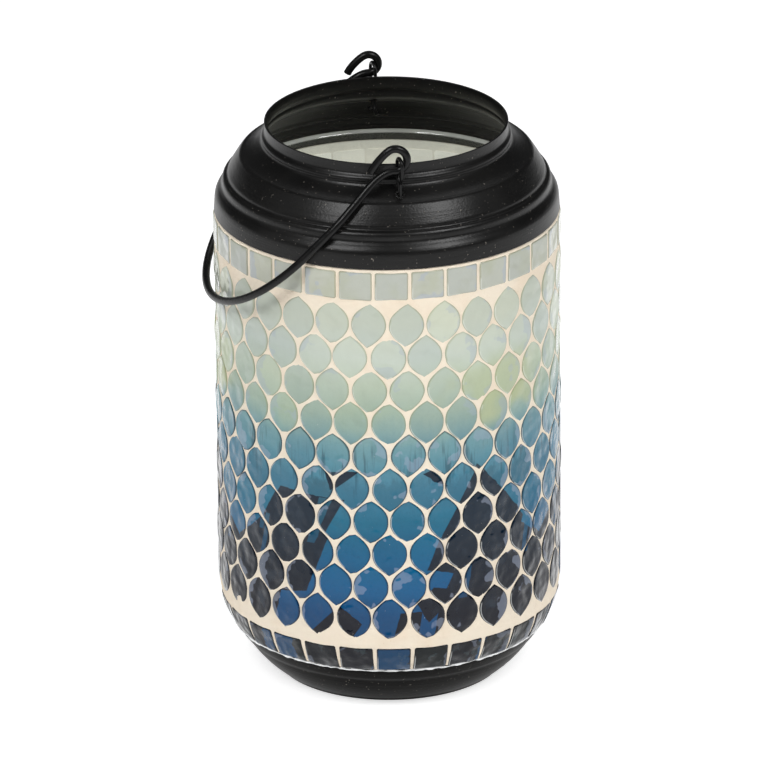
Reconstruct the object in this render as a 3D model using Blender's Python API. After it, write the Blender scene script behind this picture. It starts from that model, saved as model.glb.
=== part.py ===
"""Mosaic mason jar lantern: a straight glass jar with tiled walls, a spun collar, a base dish and a bail."""

import math

import bmesh
import bpy
from mathutils import Matrix, Vector
from mathutils.geometry import intersect_point_line

# Overall sizes, in metres. The foot stands on z = 0 and the jar's axis is the Z axis.
tile_radius = 0.055  # outside of the tiled wall
collar_top = 0.1835  # mouth of the collar
collar_height = 0.0289  # from the skirt's lower edge to the mouth
mouth_radius = 0.0385  # outside of the collar's neck
foot_radius = 0.0367  # flat underside of the base dish

# The wall, from the outside in
tile_thickness = 0.0014
grout_thickness = 0.0010
glass_thickness = 0.0026
glass_floor = 0.0045
fit_gap = 0.0003  # between any two pieces that touch
rim_share = 0.22  # the glass rim ends this far up inside the collar, as a share of its height
rim_round = 0.0013  # the rim is rounded over this height
heel_round = 0.0012  # between the jar's wall and its underside
grout_lap = 0.0020  # the grout goes up this far behind the collar's skirt
grout_tuck = math.radians(4.0)  # and this far round the lower arc behind the dish's lip

# The lower wall is an arc that turns in to the base dish
lower_arc_radius = 0.033
lower_arc_height = 0.0322  # height of the arc's centre, where the wall starts to turn
dish_edge_angle = math.radians(28.7)  # the dish's lip, measured round the arc
dish_step_angle = math.radians(39.0)  # the step where the dish's cone starts
sheet_thickness = 0.0008  # pressed steel of the dish and the collar
dish_inset = 0.0006  # the dish's lip stands back from the tiles
dish_bulge = 0.0008  # the dish swells this far out of a straight cone
skirt_inset = 0.00044  # the collar's skirt stands back from the tiles

# The mosaic. The rows of petals fill the wall between the two rows of squares.
petals_per_row = 29
petal_rows = 10
row_joint = 0.0009  # grout between the slanting sides of two rows
petal_shoulder = 0.35  # half height a quarter of the way across, as a share of the petal's height
petal_link_height = 0.0034  # where neighbours in a row join
squares_per_row = 30
square_height = 0.0095
square_joint = 0.0008
joint_depth = 0.0005
joint_slope = 0.1  # each side of a sunk joint slopes over this share of its width
arc_facet = 0.0035  # longest flat down a square on the lower arc
border_gap = 0.0010  # grout above and below the upper squares
lower_border_gap = 0.0030  # grout between the lowest petals and the lower squares
mosaic_front = math.radians(-95.5)  # a petal of each even row is centred here
square_front = math.radians(-94.2)  # a border square is centred here

# The wire fittings
bail_wire = 0.0025
eyelet_wire = 0.00115
hook_radius = 0.00375  # centre line of the hook's ring
hook_leg_angle = math.radians(-44.0)  # the ring runs from its leg, measured from the leg's direction,
hook_tip_angle = math.radians(-239.0)  # round to here, where it straightens into its free end
hook_tip_gap = 0.0027  # the free end lies this far beside the leg's line
hook_tip_length = 0.0082  # and this far down the leg from the hinge axis
leg_straight_start = 0.0135  # the leg is straight from here on
pivot_rise = 0.0029  # hinge axis above the mouth
pivot_offset = -0.0014  # the resting hooks sit this far along X from their eyelets
eyelet_reach = 0.00385  # eyelet holes outside the neck
eyelet_twist = math.radians(14.0)
eyelet_play = 0.000475  # the hook's ring runs in the loop with this much room on each side
eyelet_crown_rise = 0.0003  # the loop's top stands this far above the hinge axis
eyelet_side_run = 0.0028  # the loop's sides run straight this far below its centre
eyelet_neck_drop = 0.0062  # and its legs have closed up this far below it
eyelet_leg_spacing = 0.0015
eyelet_foot_drop = 0.0046  # its feet are bent out this far below the collar
eyelet_foot_spread = 0.0026
eyelet_hole_radius = 0.0018
rest_slope = math.radians(45.0)  # the resting bail hangs this far below level
bail_clearance = 0.0004  # the resting legs and the collar
grip_clearance = 0.0010  # the resting grip and the tiles

# The candle
candle_radius = 0.0190
candle_height = 0.0165
cup_wall = 0.0004
wax_height = 0.0130
wick_radius = 0.0007
wick_stand = 0.0060  # above the wax

turn_steps = 40
wire_sides_resolution = 2

# Sizes that follow from those above
collar_base = collar_top - collar_height
skirt_radius = tile_radius - skirt_inset
grout_depth = tile_thickness + fit_gap
glass_depth = grout_depth + grout_thickness + fit_gap
arc_centre_radius = tile_radius - lower_arc_radius
bail_radius = bail_wire / 2
pivot_height = collar_top + pivot_rise
hole_reach = mouth_radius + eyelet_reach
eyelet_crown = pivot_height + eyelet_crown_rise
eyelet_loop_radius = bail_radius + eyelet_wire / 2 + eyelet_play
grip_reach = tile_radius + bail_radius + grip_clearance
bail_length = (grip_reach + pivot_offset) / math.cos(rest_slope)  # hinge axis to the grip's middle

# Spun outline of the collar: share of the way out from neck to skirt, share of the way up
COLLAR_STEPS = (
    (0.000, 1.000),
    (-0.010, 0.900),
    (0.040, 0.850),
    (0.020, 0.800),
    (0.110, 0.745),
    (0.255, 0.692),
    (0.480, 0.640),
    (0.600, 0.545),
    (0.716, 0.436),
    (0.730, 0.395),
    (0.800, 0.378),
    (0.838, 0.290),
    (0.925, 0.225),
    (0.978, 0.160),
    (1.000, 0.000),
)


def clear_scene():
    for obj in list(bpy.data.objects):
        bpy.data.objects.remove(obj, do_unlink=True)


def paint(name, colour, roughness, metallic=0.0, transmission=0.0):
    """A plain Principled material."""
    material = bpy.data.materials.new(name)
    material.use_nodes = True
    shader = material.node_tree.nodes["Principled BSDF"]
    shader.inputs["Base Color"].default_value = (*colour, 1.0)
    shader.inputs["Roughness"].default_value = roughness
    shader.inputs["Metallic"].default_value = metallic
    shader.inputs["Transmission Weight"].default_value = transmission
    return material


def node_from(name, bm, material):
    """One closed body from a bmesh, with its faces out and its round sides shaded smooth."""
    bmesh.ops.remove_doubles(bm, verts=bm.verts, dist=1e-6)
    bmesh.ops.recalc_face_normals(bm, faces=bm.faces)
    mesh = bpy.data.meshes.new(name)
    bm.to_mesh(mesh)
    bm.free()
    mesh.materials.append(material)
    mesh.shade_smooth()
    mesh.set_sharp_from_angle(angle=math.radians(35))
    obj = bpy.data.objects.new(name, mesh)
    bpy.context.collection.objects.link(obj)
    return obj


def turned(name, outline, material, steps=turn_steps):
    """A solid turned about Z from a closed outline of (radius, height) points."""
    bm = bmesh.new()
    corners = [bm.verts.new((radius, 0.0, height)) for radius, height in outline]
    ring = [bm.edges.new((a, b)) for a, b in zip(corners, corners[1:] + corners[:1])]
    bmesh.ops.spin(
        bm,
        geom=corners + ring,
        cent=(0.0, 0.0, 0.0),
        axis=(0.0, 0.0, 1.0),
        angle=math.tau,
        steps=steps,
    )
    bmesh.ops.remove_doubles(bm, verts=bm.verts, dist=1e-6)
    loose = [edge for edge in bm.edges if not edge.link_faces]
    bmesh.ops.delete(bm, geom=loose, context="EDGES")
    return node_from(name, bm, material)


def wire(name, points, thickness, material):
    """A round wire along a run of points, with capped ends."""
    curve = bpy.data.curves.new(name, "CURVE")
    curve.dimensions = "3D"
    curve.bevel_depth = thickness / 2
    curve.bevel_resolution = wire_sides_resolution
    curve.use_fill_caps = True
    spline = curve.splines.new("POLY")
    spline.points.add(len(points) - 1)
    for slot, point in zip(spline.points, points):
        slot.co = (*point, 1.0)
    spline.use_smooth = True
    curve.materials.append(material)
    obj = bpy.data.objects.new(name, curve)
    bpy.context.collection.objects.link(obj)
    return obj


def arc_point(depth, angle):
    """Where the lower wall is, this deep below the tiles' faces and this far round its arc."""
    reach = lower_arc_radius - depth
    return (
        arc_centre_radius + reach * math.cos(angle),
        lower_arc_height - reach * math.sin(angle),
    )


def wall_point(along, depth):
    """(radius, height) on the wall; along is measured up the tiles' faces from where the wall turns in."""
    if along >= 0.0:
        return tile_radius - depth, lower_arc_height + along
    return arc_point(depth, -along / lower_arc_radius)


def lower_wall(depth, last_angle, steps):
    """The lower wall from where it starts to turn down to an angle round its arc."""
    return [arc_point(depth, last_angle * step / steps) for step in range(steps + 1)]


def collar_outline():
    """The collar's outside, from its mouth down to the skirt's edge."""
    span = skirt_radius - mouth_radius
    return [
        (mouth_radius + out * span, collar_base + up * collar_height)
        for out, up in COLLAR_STEPS
    ]


def distance_to_collar(radius, height):
    """From a point outside the collar to its outline, in the plane through the jar's axis."""
    point = Vector((radius, height))
    corners = [Vector(corner) for corner in collar_outline()]
    distances = []
    for upper, lower in zip(corners, corners[1:]):
        nearest, share = intersect_point_line(point, upper, lower)
        nearest = upper if share < 0.0 else lower if share > 1.0 else nearest
        distances.append((point - nearest.to_2d()).length)
    return min(distances)


def collar_height_at(radius):
    """Height of the collar's sloping face at a radius outside the neck."""
    outline = collar_outline()
    for (r_high, z_high), (r_low, z_low) in zip(outline[3:], outline[4:]):
        if r_high <= radius <= r_low:
            share = (radius - r_high) / (r_low - r_high)
            return z_high + share * (z_low - z_high)
    return collar_base


def inner_side(outline, thickness):
    """The outline moved square to itself towards the axis, as the inside of a sheet."""
    moved = []
    for index, (radius, height) in enumerate(outline):
        before = Vector(outline[max(0, index - 1)])
        after = Vector(outline[min(len(outline) - 1, index + 1)])
        along = (after - before).normalized()
        moved.append((radius + along.y * thickness, height - along.x * thickness))
    return moved


def make_glass_jar(material):
    rim_top = collar_base + rim_share * collar_height
    rim_edge = rim_top - rim_round
    outer = tile_radius - glass_depth
    inner = outer - glass_thickness
    quarter = glass_thickness / 4
    rim = [(inner, rim_edge), (inner + quarter, rim_top), (outer - quarter, rim_top), (outer, rim_edge)]
    outside = lower_wall(glass_depth, dish_step_angle, 4)
    inside = lower_wall(glass_depth + glass_thickness, dish_step_angle, 3)
    bottom = sheet_thickness + fit_gap
    floor_height = bottom + glass_floor
    heel_radius = foot_radius - sheet_thickness - fit_gap - heel_round
    outline = rim + outside + [(heel_radius, bottom), (0.0, bottom)]
    outline += [(0.0, floor_height), (heel_radius - heel_round, floor_height)]
    outline += inside[::-1]
    return turned("glass_jar", outline, material)


def make_grout_shell(material):
    top = collar_base + grout_lap
    last = dish_edge_angle + grout_tuck
    back_depth = grout_depth + grout_thickness
    outline = [(tile_radius - grout_depth, top)] + lower_wall(grout_depth, last, 4)
    outline += lower_wall(back_depth, last, 4)[::-1] + [(tile_radius - back_depth, top)]
    return turned("grout_shell", outline, material)


def make_band(name, columns, material):
    """A closed band round the jar. A column is (angle, places up the wall, depth of its face)."""
    bm = bmesh.new()
    rings = []
    for angle, places, face_depth in columns:
        points = [wall_point(along, face_depth) for along in places]
        points += [wall_point(along, tile_thickness) for along in reversed(places)]
        rings.append(
            [bm.verts.new((r * math.cos(angle), r * math.sin(angle), z)) for r, z in points]
        )
    for ring, following in zip(rings, rings[1:] + rings[:1]):
        for corner in range(len(ring)):
            after = (corner + 1) % len(ring)
            bm.faces.new((ring[corner], ring[after], following[after], following[corner]))
    return node_from(name, bm, material)


def square_columns(top, bottom, levels):
    """Columns of a row of squares: each square's two sides, then the sunk joint's two sides."""
    pitch = math.tau / squares_per_row
    joint = square_joint / tile_radius
    places = [top + (bottom - top) * level / levels for level in range(levels + 1)]
    columns = []
    for square in range(squares_per_row):
        centre = square_front + square * pitch
        left, right = centre - pitch / 2 + joint / 2, centre + pitch / 2 - joint / 2
        columns += [(left, places, 0.0), (right, places, 0.0)]
        columns += [(right + joint * joint_slope, places, joint_depth)]
        columns += [(right + joint * (1 - joint_slope), places, joint_depth)]
    return columns


def petal_row_sizes(top, bottom):
    """(row pitch, petal height) of rows that nest with an even joint and fill the wall between two edges."""
    spread = 1 / (2 * petal_shoulder)
    pitch = (top - bottom + row_joint * spread) / (petal_rows - 1 + spread)
    return pitch, (pitch - row_joint) * spread


def petal_columns(middle, petal_height, half_turn):
    """Columns of a row of pointed ovals that join where they are widest."""
    pitch = math.tau / petals_per_row
    tip, side, link = petal_height / 2, petal_shoulder * petal_height, petal_link_height / 2
    half_heights = (tip, side, link, side)
    curved = middle < tip
    columns = []
    for petal in range(petals_per_row):
        for quarter, half_height in enumerate(half_heights):
            angle = mosaic_front + (petal + quarter / 4 + half_turn) * pitch
            places = [middle + half_height, middle - half_height]
            if curved:
                places.insert(1, middle)
            columns.append((angle, places, 0.0))
    return columns


def make_mosaic(material_for_share, glaze_top, glaze_bottom):
    """Two border rows of squares and the rows of petals between them."""
    squares_top = collar_base - border_gap - lower_arc_height
    squares_bottom = squares_top - square_height
    make_band("top_border_tiles", square_columns(squares_top, squares_bottom, 1), glaze_top)
    lower_edge = fit_gap - dish_edge_angle * lower_arc_radius
    lower_top = lower_edge + square_height
    levels = math.ceil(square_height / arc_facet)
    make_band("bottom_border_tiles", square_columns(lower_top, lower_edge, levels), glaze_bottom)
    petals_top = squares_bottom - border_gap
    pitch, petal_height = petal_row_sizes(petals_top, lower_top + lower_border_gap)
    for row in range(petal_rows):
        middle = petals_top - petal_height / 2 - row * pitch
        columns = petal_columns(middle, petal_height, 0.5 if row % 2 == 0 else 0.0)
        make_band(f"tile_row_{row + 1:02d}", columns, material_for_share(row / (petal_rows - 1)))


def dish_side(depth):
    """The dish's lip, round the lower arc from its edge to its step."""
    turn = dish_step_angle - dish_edge_angle
    return [arc_point(depth, dish_edge_angle + turn * step / 2) for step in range(3)]


def make_base_dish(material):
    lip = dish_side(dish_inset)
    step = Vector(lip[-1]) - Vector((0.0004, 0.0002))
    foot = Vector((foot_radius, 0.0))
    slope = (foot - step).normalized()
    belly = (step + foot) / 2 + Vector((-slope.y, slope.x)) * dish_bulge
    outside = lip + [tuple(step), tuple(belly), tuple(foot)]
    inner_foot = (foot_radius - sheet_thickness, sheet_thickness)
    inside = [inner_foot] + dish_side(dish_inset + sheet_thickness)[::-1]
    outline = outside + [(0.0, 0.0), (0.0, sheet_thickness)] + inside
    return turned("base_dish", outline, material)


def eyelet_hole_cutter(side):
    bpy.ops.mesh.primitive_cylinder_add(
        vertices=12,
        radius=eyelet_hole_radius,
        depth=0.012,
        location=(0.0, side * hole_reach, collar_height_at(hole_reach)),
    )
    cutter = bpy.context.object
    cutter.name = "front_hole_cutter" if side < 0 else "rear_hole_cutter"
    cutter.hide_render = True
    cutter.display_type = "WIRE"
    return cutter


def make_collar(material):
    outside = collar_outline()
    outline = outside + inner_side(outside, sheet_thickness)[::-1]
    collar = turned("collar", outline, material)
    for side in (-1, 1):
        cut = collar.modifiers.new("eyelet_hole", "BOOLEAN")
        cut.operation = "DIFFERENCE"
        cut.solver = "EXACT"
        cut.object = eyelet_hole_cutter(side)
    return collar


def hermite(start, start_pull, end, end_pull, steps):
    """Points after start on the smooth curve from start to end."""
    points = []
    for step in range(1, steps + 1):
        t = step / steps
        points.append(
            start * (1 - 3 * t**2 + 2 * t**3)
            + start_pull * (t - 2 * t**2 + t**3)
            + end * (3 * t**2 - 2 * t**3)
            + end_pull * (t**3 - t**2)
        )
    return points


def eyelet_path():
    """Half of a hairpin loop, (distance from its middle line, height), from the tab up to the crown."""
    loop_centre = eyelet_crown - eyelet_loop_radius
    hole = collar_height_at(hole_reach)
    half_leg = eyelet_leg_spacing / 2
    foot = Vector((half_leg + eyelet_foot_spread, hole - eyelet_foot_drop))
    bend = Vector((half_leg, hole - eyelet_foot_drop / 2))
    neck = Vector((half_leg, loop_centre - eyelet_neck_drop))
    side = Vector((eyelet_loop_radius, loop_centre - eyelet_side_run))
    foot_pull = Vector((0.0, eyelet_foot_drop))
    side_pull = Vector((0.0, eyelet_neck_drop - eyelet_side_run))
    path = [foot] + hermite(foot, (bend - foot) * 0.5, bend, foot_pull, 3)
    path += [neck] + hermite(neck, side_pull, side, side_pull, 4)
    for step in range(5):
        angle = math.pi / 2 * step / 5
        rise = Vector((math.cos(angle), math.sin(angle))) * eyelet_loop_radius
        path.append(Vector((0.0, loop_centre)) + rise)
    return path


def make_eyelet(name, side, material):
    half = eyelet_path()
    crown = (0.0, eyelet_crown)
    profile = half + [crown] + [(-reach, height) for reach, height in reversed(half)]
    turn = Matrix.Rotation(eyelet_twist, 3, "Z")
    points = [turn @ Vector((0.0, side * reach, height)) for reach, height in profile]
    eyelet = wire(name, points, eyelet_wire, material)
    eyelet.location = (0.0, side * hole_reach, 0.0)
    return eyelet


def resting_bail_point(along, half_width):
    """World radius and height of a leg point this far down the resting bail."""
    across = -pivot_offset + along * math.cos(rest_slope)
    return math.hypot(across, half_width), pivot_height - along * math.sin(rest_slope)


def leg_half_width(along, spread_length, half_width):
    """A leg starts at its hook and widens smoothly to the grip's width."""
    share = min(1.0, max(0.0, (along - hook_radius) / spread_length))
    return hole_reach + (half_width - hole_reach) * share * share * (3 - 2 * share)


def legs_clear(spread_length, half_width):
    """Whether the resting legs lie clear of the collar from their hooks to the grip's bend."""
    first, last, samples = 2 * hook_radius, bail_length / 2, 24
    for step in range(samples + 1):
        along = first + (last - first) * step / samples
        across = leg_half_width(along, spread_length, half_width)
        if distance_to_collar(*resting_bail_point(along, across)) < bail_radius + bail_clearance:
            return False
    return True


def leg_shape():
    """(longest spread, grip's half width): the narrowest bail whose resting legs clear the collar."""
    fine = 0.0002
    quick_spread = 2 * hook_radius
    half_width = hole_reach
    while not legs_clear(quick_spread, half_width):
        half_width += fine
    spread = quick_spread
    while spread < bail_length / 2 and legs_clear(spread + fine, half_width):
        spread += fine
    return spread, half_width


def ring_point(angle):
    """On the hook's ring, in the bail's plane: X away from the leg's line and Z along it."""
    return Vector((math.sin(angle), 0.0, math.cos(angle))) * hook_radius


def ring_direction(angle):
    return Vector((math.cos(angle), 0.0, -math.sin(angle)))


def hook_points():
    """The hook from its free end, which lies beside the leg, round the ring to where the leg leaves it."""
    turn = hook_leg_angle - hook_tip_angle
    ring = [ring_point(hook_tip_angle + turn * step / 14) for step in range(15)]
    tip = Vector((hook_tip_gap, 0.0, hook_tip_length))
    tip_pull = Vector((hook_tip_gap, 0.0, -hook_tip_length))
    ring_pull = ring_direction(hook_tip_angle) * hook_tip_length * 0.75
    return [tip] + hermite(tip, tip_pull, ring[0], ring_pull, 6) + ring[1:]


def leg_bend_points():
    """The leg's bend from the hook's ring onto its own line."""
    pull = leg_straight_start * 0.75
    straight = Vector((0.0, 0.0, leg_straight_start))
    along = Vector((0.0, 0.0, 1.0))
    return hermite(
        ring_point(hook_leg_angle), ring_direction(hook_leg_angle) * pull, straight, along * pull, 5
    )


def bail_points():
    """The bail standing up from the hinge axis: one hook, its leg, and the rounded grip, then mirrored."""
    spread, half_width = leg_shape()
    bend = bail_length / 2
    run = bend - leg_straight_start
    straight = [Vector((0.0, 0.0, leg_straight_start + run * step / 6)) for step in range(1, 7)]
    side = [Vector((p.x, -hole_reach, p.z)) for p in hook_points()]
    for p in leg_bend_points() + straight:
        side.append(Vector((p.x, -leg_half_width(p.z, spread, half_width), p.z)))
    for step in range(1, 11):
        angle = math.pi / 2 * step / 10
        rise = (bail_length - bend) * math.sin(angle)
        side.append(Vector((0.0, -half_width * math.cos(angle), bend + rise)))
    return side + [Vector((p.x, -p.y, p.z)) for p in reversed(side[:-1])]


def make_bail(material):
    """The bail, modelled upright and laid back onto the collar about its hinge axis."""
    bail = wire("bail_handle", bail_points(), bail_wire, material)
    bail.location = (pivot_offset, 0.0, pivot_height)
    bail.rotation_euler = (0.0, -(math.pi / 2 + rest_slope), 0.0)
    return bail


def make_candle(tin, wax, wick):
    """A cup candle standing on the jar's floor."""
    bottom = sheet_thickness + glass_floor + 2 * fit_gap
    inner = candle_radius - cup_wall
    top = bottom + candle_height
    outline = [
        (candle_radius, top),
        (candle_radius, bottom),
        (0.0, bottom),
        (0.0, bottom + cup_wall),
        (inner, bottom + cup_wall),
        (inner, top),
    ]
    turned("candle_cup", outline, tin, steps=24)
    wax_bottom = bottom + cup_wall + fit_gap
    wax_top = wax_bottom + wax_height
    wax_radius = inner - fit_gap
    well = wick_radius + fit_gap
    outline = [
        (well, wax_top),
        (wax_radius, wax_top),
        (wax_radius, wax_bottom),
        (well, wax_bottom),
    ]
    turned("candle_wax", outline, wax, steps=24)
    outline = [
        (0.0, wax_top + wick_stand),
        (wick_radius, wax_top + wick_stand),
        (wick_radius, wax_bottom),
        (0.0, wax_bottom),
    ]
    turned("candle_wick", outline, wick, steps=12)


def glaze_for_share(share):
    """The glass colour of a row: pale at the top, blue half way, navy at the bottom."""
    pale, blue, navy = (0.42, 0.50, 0.46), (0.06, 0.24, 0.40), (0.02, 0.07, 0.16)
    lower, upper, mix = (pale, blue, share * 2) if share < 0.5 else (blue, navy, share * 2 - 1)
    colour = [a + (b - a) * mix for a, b in zip(lower, upper)]
    return paint(f"glaze_{round(share * 100):03d}", colour, 0.12)


def main():
    clear_scene()
    black_paint = paint("black_paint", (0.012, 0.012, 0.012), 0.38, 0.2)
    black_wire = paint("black_wire", (0.01, 0.01, 0.01), 0.32, 0.2)
    make_glass_jar(paint("clear_glass", (0.86, 0.90, 0.86), 0.04, transmission=0.9))
    make_grout_shell(paint("grout", (0.80, 0.70, 0.56), 0.85))
    make_mosaic(
        glaze_for_share,
        paint("glaze_top", (0.44, 0.48, 0.44), 0.12),
        paint("glaze_bottom", (0.02, 0.05, 0.10), 0.12),
    )
    make_collar(black_paint)
    make_base_dish(black_paint)
    make_eyelet("front_eyelet", -1, black_wire)
    make_eyelet("rear_eyelet", 1, black_wire)
    make_bail(black_wire)
    make_candle(
        paint("tin", (0.75, 0.75, 0.76), 0.3, 1.0),
        paint("wax", (0.85, 0.82, 0.74), 0.5),
        paint("wick", (0.75, 0.72, 0.66), 0.9),
    )


main()
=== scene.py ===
"""Mosaic mason jar lantern: the shown pieces, made to the sizes of its CAD parts."""

import math
import random

import bmesh
import bpy
from mathutils import Matrix, Vector, noise


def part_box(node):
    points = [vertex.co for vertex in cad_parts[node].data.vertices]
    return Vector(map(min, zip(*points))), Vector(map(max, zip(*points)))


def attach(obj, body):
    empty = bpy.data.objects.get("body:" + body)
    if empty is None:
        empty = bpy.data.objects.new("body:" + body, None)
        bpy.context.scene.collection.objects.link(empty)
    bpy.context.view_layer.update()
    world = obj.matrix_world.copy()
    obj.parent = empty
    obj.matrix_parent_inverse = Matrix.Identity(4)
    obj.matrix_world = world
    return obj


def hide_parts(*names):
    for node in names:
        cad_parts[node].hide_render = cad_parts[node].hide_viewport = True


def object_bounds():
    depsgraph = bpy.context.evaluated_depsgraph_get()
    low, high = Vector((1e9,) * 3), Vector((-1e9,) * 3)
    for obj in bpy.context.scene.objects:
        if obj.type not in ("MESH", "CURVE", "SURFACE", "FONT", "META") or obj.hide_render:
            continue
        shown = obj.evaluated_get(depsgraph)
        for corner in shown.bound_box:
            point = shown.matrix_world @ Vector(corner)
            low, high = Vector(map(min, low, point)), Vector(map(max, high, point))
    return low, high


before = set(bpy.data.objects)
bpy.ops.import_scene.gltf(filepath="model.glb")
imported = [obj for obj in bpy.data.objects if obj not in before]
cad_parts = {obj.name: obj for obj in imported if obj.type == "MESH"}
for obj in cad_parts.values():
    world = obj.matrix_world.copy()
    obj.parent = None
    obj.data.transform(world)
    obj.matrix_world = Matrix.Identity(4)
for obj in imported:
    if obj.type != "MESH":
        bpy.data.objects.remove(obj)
cad_low, cad_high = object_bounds()

# Sizes taken from the frame
tile_radius = (cad_high.y - cad_low.y) / 2
collar_low, collar_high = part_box("collar")
upper_low, upper_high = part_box("top_border_tiles")
glass_low, glass_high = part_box("glass_jar")
cup_low, cup_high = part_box("candle_cup")
wax_low, wax_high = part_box("candle_wax")
wick_low, wick_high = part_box("candle_wick")
grip_low, grip_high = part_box("bail_handle")
collar_base, collar_top = collar_low.z, collar_high.z
hinge = Vector((-0.0014, 0.0, collar_top + 0.0029))  # the bail's hooks hang here, on the loops' crowns

mouth_radius = 0.0385
foot_radius = 0.0367
sheet = 0.0008  # thickness of the collar and the dish
fit_gap = 0.0003  # round the jar's heel, and between the lower squares and the lip

# The wall turns in round an arc; angles run down the arc from where the wall ends
arc_radius = 0.033
arc_height = 0.0322
arc_centre = tile_radius - arc_radius
lip_angle = math.radians(28.7)  # the dish's lip
step_angle = math.radians(39.0)  # the step under the lip
lip_depth = 0.0006  # the lip lies this far inside the tiles' faces

# The mosaic
petals_per_row = 29
petal_height = 0.01459  # tip to tip before hand cutting, which leaves most tiles a little taller
petal_width = 0.0113
upper_squares = 30
lower_squares = 28
lower_square_height = 0.0095
square_joint = 0.0009
tile_back_depth = 0.00268
mosaic_front = math.radians(-95.5)
upper_front = math.radians(-94.2)
lower_front = math.radians(-94.4)
grout_face_depth = 0.00052
grout_back_depth = 0.0025
grout_sink = 0.0012  # extra depth where the collar's skirt or the dish's lip covers the grout
glass_depth = 0.0030
glass_thickness = 0.0026
glass_floor = 0.0045

# The wire
bail_wire = 0.0025
eyelet_wire = 0.00115
hook_radius = 0.0037
hook_leg_angle = math.radians(-44.0)
hook_tip_angle = math.radians(-239.0)
hook_tip_gap = 0.0027
hook_tip_length = 0.0082
rear_hook_size = 0.84  # the rear hook is bent a little tighter than the front one
leg_straight_start = 0.0135
hole_reach = mouth_radius + 0.00385
bail_length = 0.07898
bail_spread = 0.0265
grip_half_width = (grip_high.y - grip_low.y) / 2 - bail_wire / 2
rest_slope = math.radians(45.0)
eyelet_hole_radius = 0.00145
eyelet_twist = math.radians(14.0)
loop_slack = 0.000475  # room between the hook's wire and the loop's crown
loop_half_leg = 0.00075  # half the gap between a loop's legs

# The camera, in degrees and metres
camera_azimuth, camera_elevation, camera_roll = -5.5, 22.49, -0.468
camera_distance = 3.54
camera_aim = Vector((-0.0015, 0.00014, 0.09385))

chance = random.Random(7)

# Spun outline of the collar in millimetres: radius, and depth below the mouth
COLLAR_PROFILE = (
    (38.50, 0.00), (38.30, 1.10), (38.32, 3.00), (38.60, 3.70), (39.25, 4.40), (39.48, 5.15),
    (39.35, 5.85), (39.55, 6.55), (40.35, 7.35), (42.60, 8.90), (44.80, 9.90), (45.60, 10.10),
    (46.30, 10.55), (47.00, 11.50), (48.10, 13.15), (49.15, 14.90), (49.95, 16.30), (50.15, 17.20),
    (50.55, 17.65), (51.25, 17.98), (51.75, 18.70), (51.90, 19.60), (51.98, 20.60), (52.45, 21.40),
    (53.30, 22.35), (53.90, 23.35), (54.20, 24.35), (54.36, 26.00), (54.56, 28.90),
)


# ---- Materials


def srgb(red, green, blue):
    """A linear colour from 0-255 display values."""
    parts = [value / 255 for value in (red, green, blue)]
    linear = [p / 12.92 if p <= 0.04045 else ((p + 0.055) / 1.055) ** 2.4 for p in parts]
    return (*linear, 1.0)


def math_node(operation, *terms):
    """One Math node over sockets and numbers."""
    shader = next(term.shader for term in terms if isinstance(term, Socket))
    return shader.node("ShaderNodeMath", {"operation": operation}, dict(enumerate(terms)))


class Socket:
    """An output socket; arithmetic on it adds Math nodes."""

    def __init__(self, shader, socket):
        self.shader, self.socket = shader, socket

    def __add__(self, other):
        return math_node("ADD", self, other)

    def __sub__(self, other):
        return math_node("SUBTRACT", self, other)

    def __rsub__(self, other):
        return math_node("SUBTRACT", other, self)

    def __mul__(self, other):
        return math_node("MULTIPLY", self, other)

    def __truediv__(self, other):
        return math_node("DIVIDE", self, other)

    __radd__ = __add__
    __rmul__ = __mul__

    def step(self, low, high):
        """0 below low, 1 above high and smooth between; low may be the larger."""
        return self.shader.node(
            "ShaderNodeMapRange",
            {"interpolation_type": "SMOOTHSTEP"},
            {"Value": self, "From Min": low, "From Max": high},
        )

    def outlet(self, name):
        """Another output of the same node."""
        return Socket(self.shader, self.socket.node.outputs[name])


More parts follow.
